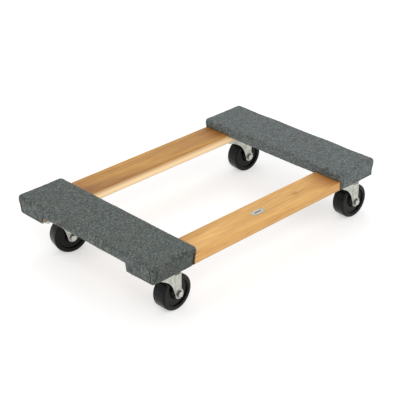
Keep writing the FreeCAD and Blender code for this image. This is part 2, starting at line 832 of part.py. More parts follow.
def make_wheel(name):
    """Solid rubber wheel: crowned tread, stepped side walls, dished web and a hub."""
    body = new_body(f"{name}_wheel")
    edge_half = "(Dim.wheel_half - Dim.tread_edge)"
    shoulder = "(Dim.wheel_rad - Dim.tread_crown)"
    crown = f"(({edge_half} ^ 2 + Dim.tread_crown ^ 2) / 2 / Dim.tread_crown)"
    right = [
        (f"{edge_half}", shoulder, f"-{crown}"),
        ("Dim.wheel_half", f"{shoulder} - Dim.tread_edge", "-Dim.tread_edge"),
        ("Dim.wheel_half", "Dim.side_rad"),
        ("Dim.wheel_half - Dim.side_step", "Dim.side_rad - Dim.side_step"),
        ("Dim.wheel_half - Dim.side_step", "Dim.dish_rad"),
        ("Dim.dish_half", "Dim.dish_rad - 1.5"),
        ("Dim.dish_half", "Dim.web_rad"),
        ("Dim.hub_half", "Dim.hub_rad"),
        ("Dim.hub_half", "Dim.bush_rad + Dim.press_fit"),
    ]
    left = [
        ("-Dim.hub_half", "Dim.bush_rad + Dim.press_fit"),
        ("-Dim.hub_half", "Dim.hub_rad"),
        ("-Dim.dish_half", "Dim.web_rad"),
        ("-Dim.dish_half", "Dim.dish_rad - 1.5"),
        ("-(Dim.wheel_half - Dim.side_step)", "Dim.dish_rad"),
        ("-(Dim.wheel_half - Dim.side_step)", "Dim.side_rad - Dim.side_step"),
        ("-Dim.wheel_half", "Dim.side_rad"),
        ("-Dim.wheel_half", f"{shoulder} - Dim.tread_edge"),
        (f"-{edge_half}", shoulder, "-Dim.tread_edge"),
    ]
    turned(body, "Revolution", new_sketch(body, "YZ_Plane", [right + left]), "H_Axis")
    stand(body, name, "Dim.trail", "Dim.wheel_rad")


def make_axle(name):
    """Bolt through legs, sleeve and wheel: head on the left, thread on the right."""
    body = new_body(f"{name}_axle_bolt")
    shank = ("0", "0", "Dim.axle_rad")
    sketch = new_sketch(body, "XZ_Plane", circles=[shank], level="Dim.axle_end")
    pad(body, sketch, "Dim.axle_end + Dim.fork_half + 1", back=True)
    head = new_sketch(body, "XZ_Plane", [hexagon("Dim.nut_flat")], level="-Dim.fork_half")
    pad(body, head, "Dim.axle_head", back=True)
    stand(body, name, "Dim.trail", "Dim.wheel_rad")


def make_axle_nut(name):
    """Flanged hexagon nut on the right-hand end of the axle bolt."""
    body = new_body(f"{name}_axle_nut")
    bore = ("0", "0", "Dim.axle_rad + Dim.axle_fit")
    flange = new_sketch(
        body, "XZ_Plane", circles=[("0", "0", "Dim.flange_rad"), bore], level="Dim.fork_half"
    )
    pad(body, flange, "Dim.flange_thick")
    face = "Dim.fork_half + Dim.flange_thick"
    nut = new_sketch(body, "XZ_Plane", [hexagon("Dim.nut_flat")], [bore], level=face)
    pad(body, nut, "Dim.axle_nut_high")
    stand(body, name, "Dim.trail", "Dim.wheel_rad")


def make_caster(name, upper, lower):
    make_plate(name)
    make_kingpin(name)
    make_lower_race(name)
    make_fork(name)
    make_balls(name, "upper", upper, "Dim.upper_track", "Dim.upper_level", UPPER_BALLS)
    make_balls(name, "lower", lower, "Dim.lower_track", "Dim.lower_level", LOWER_BALLS)
    make_axle(name)
    make_axle_nut(name)
    bore = "Dim.axle_rad + Dim.axle_fit"
    sleeve = tube(f"{name}_axle_sleeve", bore, "Dim.sleeve_rad", "Dim.sleeve_half")
    stand(sleeve, name, "Dim.trail", "Dim.wheel_rad")
    make_wheel(name)
    bush = tube(f"{name}_wheel_bush", "Dim.bush_bore", "Dim.bush_rad", "Dim.bush_half")
    stand(bush, name, "Dim.trail", "Dim.wheel_rad")


# ---------------------------------------------------------------- the whole dolly
def build():
    for name, side in SIDES.items():
        make_rail(name, side)
    staple = staple_pattern()
    for name, end in ENDS.items():
        make_board(name, end)
        make_carpet(name, end)
        make_staples(name, end, staple)
    make_label()
    bolts = bolt_spots()
    group("caster_bolts", bolt_pattern(), bolts)
    group("caster_nuts", nut_pattern(), bolts)
    upper = ball_pattern("Dim.upper_ball")
    lower = ball_pattern("Dim.lower_ball")
    for name in CASTERS:
        make_caster(name, upper, lower)
    doc.recompute()


def check():
    for thing in doc.Objects:
        if "Invalid" in thing.State or "Error" in thing.State:
            raise ValueError(f"{thing.Label}: {thing.State}")
    for thing in nodes:
        if thing.Shape.isNull() or not thing.Shape.isValid():
            raise ValueError(f"{thing.Label}: its shape isn't valid")


def export():
    for thing in nodes:
        thing.Shape.exportStep(f"parts/{thing.Label}.step")
        size = thing.Shape.BoundBox
        print(
            f"{thing.Label}: {len(thing.Shape.Solids)} solids,"
            f" {size.XLength:.1f} x {size.YLength:.1f} x {size.ZLength:.1f} mm"
        )


build()
check()
export()
print(f"{len(nodes)} nodes")
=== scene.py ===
# Looks of the furniture dolly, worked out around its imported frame. Metres, +Z up, +X is the front end.
import math

import bmesh
import bpy
import numpy as np
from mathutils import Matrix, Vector


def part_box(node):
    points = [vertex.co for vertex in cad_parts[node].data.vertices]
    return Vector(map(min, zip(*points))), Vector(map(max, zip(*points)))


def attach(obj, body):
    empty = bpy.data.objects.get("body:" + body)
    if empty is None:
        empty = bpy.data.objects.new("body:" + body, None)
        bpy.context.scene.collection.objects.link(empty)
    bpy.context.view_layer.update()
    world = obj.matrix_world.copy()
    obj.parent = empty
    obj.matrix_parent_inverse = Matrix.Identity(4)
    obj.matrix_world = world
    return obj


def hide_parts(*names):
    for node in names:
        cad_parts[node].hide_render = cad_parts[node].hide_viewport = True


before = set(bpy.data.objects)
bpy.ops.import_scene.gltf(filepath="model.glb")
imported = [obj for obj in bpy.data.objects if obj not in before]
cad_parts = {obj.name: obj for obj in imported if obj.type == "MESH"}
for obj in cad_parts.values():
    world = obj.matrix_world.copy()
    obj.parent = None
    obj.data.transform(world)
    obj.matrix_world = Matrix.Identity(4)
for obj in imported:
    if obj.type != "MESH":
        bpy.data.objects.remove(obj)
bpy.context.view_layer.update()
casters = ["rear_right", "front_right", "front_left", "rear_left"]
print("frame loaded:", len(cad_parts), "CAD nodes")


def linear(hexText):
    # sRGB hex to linear red, green, blue, with alpha 1
    channels = [int(hexText[i:i + 2], 16) / 255 for i in (1, 3, 5)]
    return [c / 12.92 if c <= 0.04045 else ((c + 0.055) / 1.055) ** 2.4 for c in channels] + [1]


def addNode(tree, kind, settings=None, links=None):
    # One node. A setting is a property, an input's value, or a ramp's (position, colour) stops.
    # A link comes from a socket, or from a node's first output in use.
    node = tree.nodes.new("ShaderNode" + kind)
    for key, value in (settings or {}).items():
        if key == "stops":
            elements = node.color_ramp.elements
            for _ in value[2:]:
                elements.new(0.5)
            for element, (position, hexText) in zip(elements, value):
                element.position = position
                element.color = linear(hexText)
        elif isinstance(key, str) and hasattr(node, key):
            setattr(node, key, value)
        else:
            findInput(node, key).default_value = value
    for key, source in (links or {}).items():
        if isinstance(source, bpy.types.Node):
            source = next(socket for socket in source.outputs if socket.enabled)
        tree.links.new(source, findInput(node, key))
    return node


def findInput(node, key):
    # an input by its number, or by its name among the inputs in use
    if isinstance(key, int):
        return node.inputs[key]
    return next(socket for socket in node.inputs if socket.enabled and socket.name == key)


def newMaterial(name):
    material = bpy.data.materials.new(name)
    material.use_nodes = True
    material.node_tree.nodes.clear()
    return material, material.node_tree


def finishMaterial(tree, settings, links):
    # settings hold what is the same all over, links hold what varies
    shader = addNode(tree, "BsdfPrincipled", settings, links)
    addNode(tree, "OutputMaterial", {}, {"Surface": shader})


def layer(tree, tone, value, hexText, span=(0, 1), most=1, blend="MIX"):
    # Lays a colour over the tone, from none of it where the value is at the span's first end to the most
    # where it is at the second
    ends = {"From Min": span[0], "From Max": span[1], "To Max": most}
    amount = addNode(tree, "MapRange", ends, {"Value": value})
    settings = {"data_type": "RGBA", "blend_type": blend, "B": linear(hexText)}
    return addNode(tree, "Mix", settings, {"Factor": amount, "A": tone})


def dress(material, *names):
    # puts a material on CAD nodes
    for name in names:
        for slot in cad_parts[name].material_slots:
            slot.material = material


def addMesh(name, points, faces):
    mesh = bpy.data.meshes.new(name)
    mesh.from_pydata(points.tolist(), [], faces.tolist())
    piece = bpy.data.objects.new(name, mesh)
    bpy.context.scene.collection.objects.link(piece)
    return piece


def smooth(x, low, high):
    # 0 below low, 1 above high, an S-curve between
    x = np.clip((x - low) / (high - low), 0, 1)
    return x * x * (3 - 2 * x)


def waves(points, size, seed, count=40):
    # Sum of sine waves in random directions, with lengths near size; mostly between -1 and 1
    draw = np.random.default_rng(seed)
    ways = draw.normal(size=(count, 3))
    ways /= np.linalg.norm(ways, axis=1)[:, None]
    lengths = size * draw.uniform(0.7, 1.5, count)
    phases = draw.uniform(0, 2 * np.pi, count)
    turns = points @ (2 * np.pi * ways / lengths[:, None]).T + phases
    return np.sin(turns).sum(axis=-1) / math.sqrt(count)


# Carpet covers: one piece of felt over each end board. Its top rolls over the board's edges, skirts hang
# over the rail ends, and between the rails its long sides turn under the board.
carpet = {
    "thick": 0.0042,
    "edgeRadius": 0.0065,  # over the board's top edges
    "cornerRadius": 0.010,  # round its upright corners
    "crown": 0.0007,  # how much the top swells
    "grid": 0.0027,
    "fineGrid": 0.0009,  # near the corners, where the creases are
    "nearCorner": 0.022,
    # how many points a line over each part has
    "points": {"corner": 12, "top": 26, "bend": 7, "wall": 9, "under": 12, "skirt": 11},
    "mergeWithin": 2e-6,
    "hemEdge": 0.0006,  # width of the cut edge that shows
    "railSlack": 0.0005,  # from the hem to the rail's top
    "boardSlack": 0.0003,
    "flap": 0.026,
    "flapBend": 0.0045,
    "flapBulge": 0.0016,  # how far the fold hangs below the stapled strip
    "flapSettle": 0.012,  # width over which it comes up to the board
    "tailTurn": 0.75,  # how far the skirt turns past the short side, in radians
    "lean": 0.0007,  # how far the skirt's foot leans in, trebled at the corners
    "leanFade": (0.01, 0.045),  # below the top, like the other fades
    "bulge": 0.0022,  # how far the folded corners stand out
    "bulgeReach": 0.032,
    "bulgeBelow": 0.009,
    "bulgeHeight": 0.012,
    "napDepth": 0.00022,
    "napSize": 0.0065,
    "sagDepth": 0.00045,
    "sagSize": 0.085,
    "sagWaves": 12,  # how many are summed
    "creaseDepth": 0.0034,
    "creaseWidth": 0.0019,
    "creaseGap": 0.0088,  # from the corner's middle to each crease
    "creaseFade": (0.004, 0.016),
    "swell": 0.35,  # how far the felt between two creases swells, as a share of their depth
    "hemWave": 0.0005,
    "hemWaveSize": 0.05,
    "hemWaves": 10,
    "skirtCut": 0.98,  # the cut edge starts this share of the way down the skirt
    "slantReach": 3,  # how far a slit's slant is felt along the skirt, as a multiple of the slant
    "slitIn": 0.001,  # from the rail's inner face to the inner slit
    "tailReach": (0.009, 0.013),  # how far the dark end, backing and painted shade, reaches from the inner corner
    "tailHeight": (0.154, 0.158),  # where it fades out, above the floor
    # below the top, over which the painted shade on the short side comes in
    "shortSideShadeFade": (0, 0.006),
    "flatSize": (0.240, 0.573),
    "flatArea": 0.121,
}
# By corner: the skirt's foot at the slit, at the outer corner and at the short side's far end; the slit's
# distance past the rail's inner face and its slant; how deep the creases, how dark the far end, partly the
# cut edge's backing and partly painted shade, and how much painted shade the short side gets.
coverLooks = {
    "rear": {"seed": 4, "corners": {
        "right": {"foot": (0.1232, 0.1236, 0.1250), "slit": 0.0055, "slant": 0.0045,
                  "crease": 1.0, "tail": 1.0, "shortSideShade": 0.42},
        "left": {"foot": (0.1258, 0.1252, 0.1245), "slit": 0.0100, "slant": 0.0120,
                 "crease": 0.5, "tail": 0.3, "shortSideShade": 0},
    }},
    "front": {"seed": 9, "corners": {
        "right": {"foot": (0.1238, 0.1240, 0.1240), "slit": 0.0055, "slant": 0.0045,
                  "crease": 0.4, "tail": 0.3, "shortSideShade": 0},
        "left": {"foot": (0.1238, 0.1240, 0.1240), "slit": 0.0060, "slant": 0.0055,
                 "crease": 0.4, "tail": 0.3, "shortSideShade": 0},
    }},
}


def evenRuns(knots, steps):
    # values from knot to knot, in even steps of about the size given for each run
    pairs = zip(knots, knots[1:], steps)
    runs = [np.linspace(a, b, max(2, round(abs(b - a) / step) + 1))[:-1] for a, b, step in pairs]
    return np.concatenate([*runs, knots[-1:]])


def coverSizes(end):
    # from the CAD boxes of the cover, its board and a rail
    low, high = (np.array(corner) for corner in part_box(f"carpet_{end}"))
    railLow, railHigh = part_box("rail_left")
    halfWide, halfLong = (high - low)[:2] / 2
    return {
        "middle": (low + high)[:2] / 2,
        "side": math.copysign(1, low[0]),  # -1 at the rear
        "a": halfWide - carpet["cornerRadius"],
        "b": halfLong - carpet["cornerRadius"],
        "spine": halfLong - halfWide,
        "top": high[2],
        "hem": railHigh[2] + carpet["railSlack"],
        "flapLow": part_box(f"board_{end}")[0][2] - carpet["thick"] - carpet["boardSlack"],
        "railInside": railLow[1],
    }


def fromInnerCorner(distance, size):
    # how far a place on the outline is from the inner corner's middle
    return np.abs(distance + 2 * size["a"] + carpet["cornerRadius"] * np.pi / 2)


def coverOutline(size, slitOut, slitIn):
    # Half of the cover's outline in plan, from the middle of its inner side by the short side to the middle
    # of its outer side: columns of (centre of curvature along a and b, turn of the outward normal, distance
    # from the outer corner's middle). The normal turns through the corners about fixed centres.
    a, b, near, edge = size["a"], size["b"], carpet["nearCorner"], carpet["hemEdge"]
    coarse, fine = carpet["grid"], carpet["fineGrid"]
    long = evenRuns([0, slitOut - edge, slitOut, slitOut + edge, slitIn, b - near, b], [coarse] * 5 + [fine])
    short = evenRuns([-a, -a + near / 2, a - near, a], [fine, coarse, fine])
    corner = np.linspace(0, np.pi / 2, carpet["points"]["corner"])
    runs = [(-a, long, np.pi), (-a, b, np.pi - corner), (short, b, np.pi / 2), (a, b, np.pi / 2 - corner),
            (a, long[::-1], 0)]
    stacks = [np.stack(np.broadcast_arrays(*run), axis=1) for run in runs]
    columns = np.concatenate([stacks[0], *(stack[1:] for stack in stacks[1:])])
    turn = columns[:, 2]
    plan = columns[:, :2] + carpet["cornerRadius"] * np.stack([np.cos(turn), np.sin(turn)], axis=1)
    steps = np.linalg.norm(np.diff(plan, axis=0), axis=1)
    distance = np.concatenate([[0], np.cumsum(steps)])
    outerCorner = np.argmin(np.abs(turn - np.pi / 4))
    return np.column_stack([columns, distance - distance[outerCorner]])


def mainRows(size):
    # Rows of (share of the way from the spine, offset from the centre of curvature, height, tilt of the
    # normal from upright): out over the top, a quarter circle over the edge, and down the wall to the hem
    radius, edge, top, points = carpet["cornerRadius"], carpet["edgeRadius"], size["top"], carpet["points"]
    share = np.linspace(0, 1, points["top"])[:-1]
    bend = np.linspace(0, np.pi / 2, points["bend"])
    wall = np.linspace(top - edge, size["hem"], points["wall"])[1:]
    flat, upright = np.zeros_like(share), np.ones_like(wall)
    return (
        np.concatenate([share, np.ones_like(bend), upright]),
        np.concatenate([flat + radius - edge, radius - edge + edge * np.sin(bend), upright * radius]),
        np.concatenate([flat + top, top - edge + edge * np.cos(bend), wall]),
        np.concatenate([flat, bend, upright * np.pi / 2]),
    )


def flapRows(size):
    # from the hem round a bend of its own radius and in under the board, where it comes up to the staples
    radius, bend, points = carpet["cornerRadius"], carpet["flapBend"], carpet["points"]
    turn = np.linspace(0, np.pi / 2, points["bend"])
    under = np.linspace(0, carpet["flap"] - bend, points["under"])[1:]
    low = size["flapLow"] - carpet["flapBulge"] * (1 - smooth(under, 0, carpet["flapSettle"]))
    foldLow = size["flapLow"] - carpet["flapBulge"]
    offset = np.concatenate([[radius], radius - bend * (1 - np.cos(turn)), radius - bend - under])
    height = np.concatenate([[size["hem"]], foldLow + bend * (1 - np.sin(turn)), low])
    tilt = np.concatenate([[np.pi / 2], np.pi / 2 + turn, np.full_like(under, np.pi)])
    return np.ones_like(offset), offset, height, tilt


def skirtRows(size, distance, foot):
    # Straight down from the hem to the foot, whose height changes along the skirt. The last, narrow row is
    # the cut edge.
    footHeight = np.interp(distance, [distance[0], 0, distance[-1]], foot[::-1])[:, None]
    deep = np.append(np.linspace(0, carpet["skirtCut"], carpet["points"]["skirt"]), 1)[None, :]
    height = size["hem"] + (footHeight - size["hem"]) * deep
    flat = np.ones_like(height)
    return flat, flat * carpet["cornerRadius"], height, flat * np.pi / 2


def coverPanel(columns, rows, size, seed, crease, way):
    # A panel's points are the spine's plus a share of the way out to the outline, at each row's height, then
    # pushed along the normal by the nap, the sag, and two upright creases beside each corner that fade
    # out towards the top, with the felt swelling between them
    shape = (len(columns), rows[0].shape[-1])
    share, offset, height, tilt = (np.broadcast_to(row, shape)[..., None] for row in rows)
    turn, distance = columns[:, None, 2:3], columns[:, None, 3:4]
    nearest = np.minimum(np.abs(distance), fromInnerCorner(distance, size))
    out = np.concatenate([np.cos(turn), np.sin(turn)], axis=2)
    spine = np.concatenate([0 * turn, np.minimum(columns[:, None, 1:2], size["spine"])], axis=2)
    below = size["top"] - height
    cornered = np.exp(-((nearest / carpet["bulgeReach"]) ** 2))
    folded = np.exp(-(((below - carpet["bulgeBelow"]) / carpet["bulgeHeight"]) ** 2))
    offset = offset - (1 + 2 * cornered) * carpet["lean"] * smooth(below, *carpet["leanFade"])
    offset = offset + carpet["bulge"] * cornered * np.sin(tilt) * folded
    plan = spine + (columns[:, None, :2] + out * offset - spine) * share
    points = np.concatenate([plan, height + carpet["crown"] * (1 - share ** 2)], axis=2) * (1, way, 1)
    normals = np.concatenate([out * np.sin(tilt), np.cos(tilt)], axis=2) * (1, way, 1)
    gap, strength = carpet["creaseGap"], smooth(below, *carpet["creaseFade"]) * crease
    grooves = np.exp(-((nearest - gap) / carpet["creaseWidth"]) ** 2) * strength
    swell = carpet["swell"] * np.exp(-((nearest / gap) ** 4)) * strength
    nap = carpet["napDepth"] * waves(points, carpet["napSize"], seed)
    sag = carpet["sagDepth"] * waves(points, carpet["sagSize"], seed + 1, carpet["sagWaves"])
    push = (nap + sag)[..., None] + carpet["creaseDepth"] * (swell - grooves)
    # the grooves' depth comes back too, for the painted shade in them
    return points + normals * push, grooves[..., 0]


def hangSkirt(grid, columns, onOuter, slitOut, seed, corner, way):
    # lets the hem wave, and slants the slit's edge away from the middle towards its foot
    deep = np.linspace(0, 1, grid.shape[1])[None, :]
    hem = grid[:, :1] * (1, 1, 0)
    wave = waves(hem, carpet["hemWaveSize"], seed, carpet["hemWaves"])
    grid[..., 2] += carpet["hemWave"] * wave * deep
    away = (columns[:, 1:2] - slitOut) / (carpet["slantReach"] * corner["slant"])
    grid[..., 1] += way * corner["slant"] * np.exp(-np.abs(away)) * deep * onOuter


def coverHalf(size, look, way):
    # The four panels of one half, main, skirt and two flaps, which share their edge points: for each its
    # points, how far each shows a cut edge, partly painted shade by the inner corner, and how much
    # painted shade it gets in the creases and on the short side
    corner = look["corners"]["left" if way * size["side"] > 0 else "right"]
    slitOut, slitIn = size["railInside"] - corner["slit"], size["railInside"] - carpet["slitIn"]
    columns = coverOutline(size, slitOut, slitIn)
    along, turn = columns[:, 1], columns[:, 2]
    tiny = 1e-7
    inner, outer = turn > np.pi - tiny, turn < tiny
    hangs = (turn < np.pi / 2 + carpet["tailTurn"]) & (~outer | (along > slitOut - tiny))
    flapIn, flapOut = inner & (along < slitIn + tiny), outer & (along < slitOut + tiny)
    whole = np.full(len(columns), True)
    panels = [("main", whole, mainRows(size)),
              ("skirt", hangs, skirtRows(size, columns[hangs, 3], corner["foot"])),
              ("flap", flapIn, flapRows(size)), ("flap", flapOut, flapRows(size))]
    for kind, chosen, rows in panels:
        here = columns[chosen]
        grid, crease = coverPanel(here, rows, size, look["seed"], corner["crease"], way)
        cut = np.zeros(grid.shape[:2])
        if kind == "skirt":
            hangSkirt(grid, here, outer[chosen][:, None], slitOut, look["seed"] + 5, corner, way)
            cut[[0, -1]] = 1
        cut[:, -1] = ~(hangs | flapIn | flapOut) if kind == "main" else 1
        height = grid[..., 2]
        # the dark end by the inner corner: partly the cut edge's backing, partly painted shade of the gap by
        # the rail
        tail = 1 - smooth(fromInnerCorner(here[:, 3:4], size), *carpet["tailReach"])
        tail = tail * (1 - smooth(height, *carpet["tailHeight"]))
        # painted shade on the short side, coming in just below the top
        shortSideShade = np.sin(here[:, 2:3]) ** 2 * smooth(size["top"] - height, *carpet["shortSideShadeFade"])
        yield grid, np.maximum(cut, corner["tail"] * tail), np.maximum(crease, corner["shortSideShade"] * shortSideShade)


def makeCover(end, material):
    # Both halves' panels in one mesh, their shared edge points merged before the felt gets its thickness
    size = coverSizes(end)
    points, faces, cuts, creases = [], [], [], []
    count = 0
    for way in (1, -1):
        for grid, cut, crease in coverHalf(size, coverLooks[end], way):
            # indices run backwards on the mirrored half, so that its faces point outwards too
            index = count + np.arange(cut.size).reshape(cut.shape)[::way]
            quads = np.stack([index[:-1, :-1], index[1:, :-1], index[1:, 1:], index[:-1, 1:]], axis=2)
            points.append(grid.reshape(-1, 3))
            faces.append(quads.reshape(-1, 4))
            cuts.append(cut.ravel())
            creases.append(crease.ravel())
            count += cut.size
    points = np.concatenate(points)
    points[:, :2] = size["middle"] + size["side"] * points[:, :2]
    cover = addMesh(f"carpet_cloth_{end}", points, np.concatenate(faces))
    for name, values in (("cut", cuts), ("crease", creases)):
        attribute = cover.data.attributes.new(name, "FLOAT", "POINT")
        attribute.data.foreach_set("value", np.concatenate(values))
    joined = bmesh.new()
    joined.from_mesh(cover.data)
    bmesh.ops.remove_doubles(joined, verts=joined.verts, dist=carpet["mergeWithin"])
    joined.to_mesh(cover.data)
    joined.free()
    cover.data.shade_smooth()
    wall = cover.modifiers.new("feltThickness", "SOLIDIFY")
    wall.thickness = carpet["thick"]
    wall.offset = -1
    cover.data.materials.append(material)
    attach(cover, "deck")
    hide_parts(f"carpet_{end}")


felt = {
    "tuft": 0.0050,  # a tuft of one colour
    "fibre": 0.0019,  # far coarser than the real fibres, so that it shows
    "clump": 0.017,  # where more of the dark fibres lie
    "tint": 0.014,  # brown and blue-green fibres gather in spots of this size
    "tints": [(0.38, "#f0d6be"), (0.5, "#ffffff"), (0.62, "#cfe9ea")],
    "tinting": 0.4,
    "paleFibres": {"span": (0.60, 0.72), "most": 0.7},
    "darkClumps": {"span": (0.38, 0.68), "most": 0.42},
    "crease": {"hexText": "#1c1914", "most": 0.85},  # painted shade in the creases, and where set on the short side below the top
    "cut": {"hexText": "#33261b"},  # the brown latex backing, which a cut edge shows; by the inner corners partly painted shade
    "fuzz": 0.0011,  # height of the surface's bumps
}


def feltMaterial(name, look):
    # Needle-punched felt of recycled fibre: dead matt, heathered in tufts of light and dark grey, with a
    # faint fuzz at grazing angles. Painted shade darkens its creases and the near cover's lower short side.
    material, tree = newMaterial(name)
    where = addNode(tree, "TexCoord").outputs["Object"]
    moved = addNode(tree, "Mapping", {"Location": look["shift"]}, {"Vector": where})
    tufts = addNode(tree, "TexNoise", {"Scale": 1 / felt["tuft"], "Detail": 3, "Roughness": 0.72},
                    {"Vector": moved})
    fibres = addNode(tree, "TexNoise", {"Scale": 1 / felt["fibre"], "Detail": 2, "Roughness": 0.7},
                     {"Vector": where})
    clumps = addNode(tree, "TexNoise", {"Scale": 1 / felt["clump"], "Detail": 2}, {"Vector": moved})
    tints = addNode(tree, "TexNoise", {"Scale": 1 / felt["tint"], "Detail": 2}, {"Vector": moved})
    tone = addNode(tree, "ValToRGB", {"stops": look["stops"]}, {"Fac": tufts})
    tone = layer(tree, tone, fibres, look["pale"], **felt["paleFibres"])
    tone = layer(tree, tone, clumps, look["dark"], **felt["darkClumps"])
    tint = addNode(tree, "ValToRGB", {"stops": felt["tints"]}, {"Fac": tints})
    mixing = {"data_type": "RGBA", "blend_type": "MULTIPLY", "Factor": felt["tinting"]}
    tone = addNode(tree, "Mix", mixing, {"A": tone, "B": tint})
    # crease gives painted shade in creases and on the short side, cut the backing's brown at cut edges
    for attribute in ("crease", "cut"):
        given = addNode(tree, "Attribute", {"attribute_name": attribute}).outputs["Fac"]
        tone = layer(tree, tone, given, **felt[attribute])
    fuzz = addNode(tree, "Bump", {"Distance": felt["fuzz"], "Strength": 0.8}, {"Height": tufts})
    settings = {"Roughness": 0.95, "IOR": 1.45, "Specular IOR Level": 0.15, "Sheen Weight": 0.15,
                "Sheen Roughness": 0.6}
    finishMaterial(tree, settings, {"Base Color": tone, "Normal": fuzz})
    return material


feltLooks = {
    "rear": {"shift": (1.0, 0, 0), "dark": "#323735", "pale": "#8c938f",
             "stops": [(0.32, "#212624"), (0.46, "#474e4b"), (0.55, "#5d6461"), (0.68, "#7d8480")]},
    "front": {"shift": (5.0, 0, 0), "dark": "#3a3f3f", "pale": "#949b9a",
              "stops": [(0.32, "#272d2d"), (0.46, "#535a5a"), (0.55, "#686f6f"), (0.68, "#868d8c")]},
}
for end in ("rear", "front"):
    makeCover(end, feltMaterial(f"needlePunchedFelt{end.title()}", feltLooks[end]))
print("carpet covers made")


# Rails and boards
wood = {
    "streak": 16,  # a streak's length over its width
    "figure": 0.045,  # width of the broad light and dark stripes
    "lines": 0.0042,  # width of a growth line
    "pores": 0.0024,  # ten times as wide as real pores, so that they show
    "relief": 0.0002,  # height of its bumps
    "shine": (0.38, 0.52),  # roughness, from between the growth lines to on them
    # layers of colour, from the first
    "lineTone": {"span": (0.45, 0.75), "most": 0.45, "blend": "MULTIPLY"},
    "poreTone": {"hexText": "#b07f48", "span": (0.58, 0.72), "most": 0.2, "blend": "MULTIPLY"},
    # painted shade on the rails by the end boards:
    "shadeByCoversForward": (0.19, 0.257),  # forward of the deck's middle
    "shadeByCoversHeight": (0.1425, 0.1465),  # only on top
    "shadeByCovers": {"hexText": "#a8702c", "blend": "MULTIPLY"},
    "shadeTowardEnds": {"hexText": "#c2904c", "span": (0.16, 0.262), "blend": "MULTIPLY"},  # painted shade, away from the middle
    "markRadii": (0.014, 0.009, 0.02),  # of a bruise
    "mark": {"hexText": "#9c6a2c", "span": (1.1, 0.4), "most": 0.45},
    "paleWidth": 0.004,  # over which the painted light on the inner side starts
    "paleHeight": (0.1465, 0.133),  # none to full, above the floor
    "pale": {"hexText": "#fbdaa8"},
    "lowEdgeShade": {"hexText": "#a08c68", "span": (0.1275, 0.1205), "most": 0.6},  # painted shade along the lower edges
    "dustAndShade": {"hexText": "#6a6257", "span": (0.31, 0.35), "most": 0.8},  # painted shade under the covers
}
deckMiddle = sum(corner[0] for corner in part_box("rail_right")) / 2
# By piece: shift places its figure, grain is the axis that it runs along, 0 for X and 1 for Y, and the
# shade entry is how dark the painted shade by the end boards is
woodLooks = {
    "right": {"shift": (3.1, 1.2, 1.9), "grain": 0, "line": "#d2a160", "shadeByCovers": 0.62,
              "stops": [(0.0, "#c89549"), (0.35, "#d4a156"), (0.7, "#dfae61"), (1.0, "#eabb6f")],
              "mark": (0.121, -0.198, 0.1475)},
    "left": {"shift": (7.7, 2.8, 4.7), "grain": 0, "line": "#cc9c5e", "shadeByCovers": 0.5,
             "stops": [(0.0, "#996726"), (0.4, "#b07c32"), (0.7, "#c08c3d"), (1.0, "#d09d4a")],
             # the far rail gets painted light on its inner side, lighter than its top
             "paleFrom": 0.1580},
    "board": {"shift": (12.3, 4.5, 7.5), "grain": 1, "line": "#b98d58", "shadeByCovers": 0,
              "stops": [(0.0, "#a98052"), (0.5, "#b98f60"), (1.0, "#c69f70")]},
}


